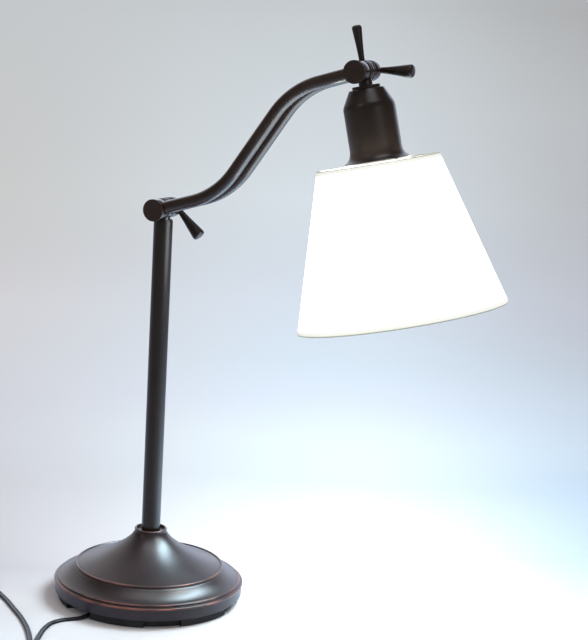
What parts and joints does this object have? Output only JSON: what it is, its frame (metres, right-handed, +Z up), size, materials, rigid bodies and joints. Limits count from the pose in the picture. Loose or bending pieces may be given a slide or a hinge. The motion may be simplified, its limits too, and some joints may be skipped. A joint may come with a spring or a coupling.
{
  "type": "adjustable desk lamp",
  "caption": "Desk lamp with a cone-shaped fabric shade on a weighted round base, a post and a pair of S-curved rods that tilt at two clamped joints.",
  "frame": {"origin": "centre of the base on the table it stands on", "axes": "+Z up, +X from the post towards the lamp head, and both tilt axes along Y"},
  "size_m": [0.582, 0.3362, 0.6008],
  "materials": {
    "bronze": "satin dark bronze with rubbed copper edges",
    "bronze_flat": "satin dark bronze",
    "cast_iron": "rough casting",
    "dark_steel": "blackened sheet",
    "zinc_steel": "zinc plated",
    "foot_rubber": "matte",
    "brass": "bright",
    "black_plastic": "satin moulded",
    "white_wire": "gloss white wire",
    "shade_cloth": "off-white woven cloth on a stiff lining",
    "shade_tape": "rolled cream tape",
    "bulb_metal": "rolled thread",
    "bulb_glass": "frosted",
    "bulb_inner": "stem and filament",
    "lead_jacket": "matte",
    "cord_jacket": "smooth satin jacket",
    "plug_plastic": "moulded"
  },
  "bodies": {
    "stand": {"base_cover": "bronze", "base_weight": "cast_iron", "base_plate": "dark_steel", "foot_ring": "foot_rubber", "post": "bronze", "post_plug": "zinc_steel", "post_nipple": "brass", "post_nut": "zinc_steel", "lower_knuckle": "bronze", "cord_gland": "black_plastic", "stand_lead": "lead_jacket", "cord_tube": "cord_jacket", "cord_coil": "cord_jacket", "cord_tie": "black_plastic", "cord_tail": "cord_jacket", "plug_body": "plug_plastic", "plug_blades": "brass"},
    "arm": {"near_rod": "bronze", "far_rod": "bronze", "lower_near_eye": "bronze", "lower_far_eye": "bronze", "upper_near_eye": "bronze", "upper_far_eye": "bronze", "lower_washers": "black_plastic", "upper_washers": "black_plastic", "lower_bolt": "bronze_flat", "upper_bolt": "bronze_flat", "arm_lead": "lead_jacket"},
    "lower_lever": {"lower_lever": "bronze"},
    "upper_lever": {"upper_lever": "bronze"},
    "head": {"upper_knuckle": "bronze", "aiming_handle": "bronze", "cap_plate": "bronze_flat", "lamp_cup": "bronze", "cup_nut": "zinc_steel", "lampholder": "black_plastic", "screw_shell": "brass", "centre_contact": "brass", "shade_ring_nut": "black_plastic", "shade_spider": "white_wire", "shade_top_hoop": "white_wire", "shade_bottom_hoop": "white_wire", "shade_fabric": "shade_cloth", "shade_top_trim": "shade_tape", "shade_bottom_trim": "shade_tape", "bulb_cap": "bulb_metal", "bulb_glass": "bulb_glass", "bulb_filament": "bulb_inner", "head_lead": "lead_jacket"},
    "switch_knob": {"switch_knob": "black_plastic"}
  },
  "joints": [
    {"name": "arm_tilt", "type": "hinge", "parent": "stand", "child": "arm", "pos_m": [0, 0, 0.4062], "axis": [0, -1, 0], "range_deg": [-25, 45]},
    {"name": "head_tilt", "type": "hinge", "parent": "arm", "child": "head", "pos_m": [0.2068, 0, 0.5582], "axis": [0, -1, 0], "range_deg": [-30, 40]},
    {"name": "lower_clamp", "type": "hinge", "parent": "arm", "child": "lower_lever", "pos_m": [0, 0.0241, 0.4062], "axis": [0, -1, 0], "range_deg": [-40, 15]},
    {"name": "upper_clamp", "type": "hinge", "parent": "arm", "child": "upper_lever", "pos_m": [0.2068, 0.0241, 0.5582], "axis": [0, -1, 0], "range_deg": [0, 50]},
    {"name": "switch_turn", "type": "hinge", "parent": "head", "child": "switch_knob", "pos_m": [0.21736, 0.03, 0.51487], "axis": [0, 1, 0], "continuous": true}
  ]
}
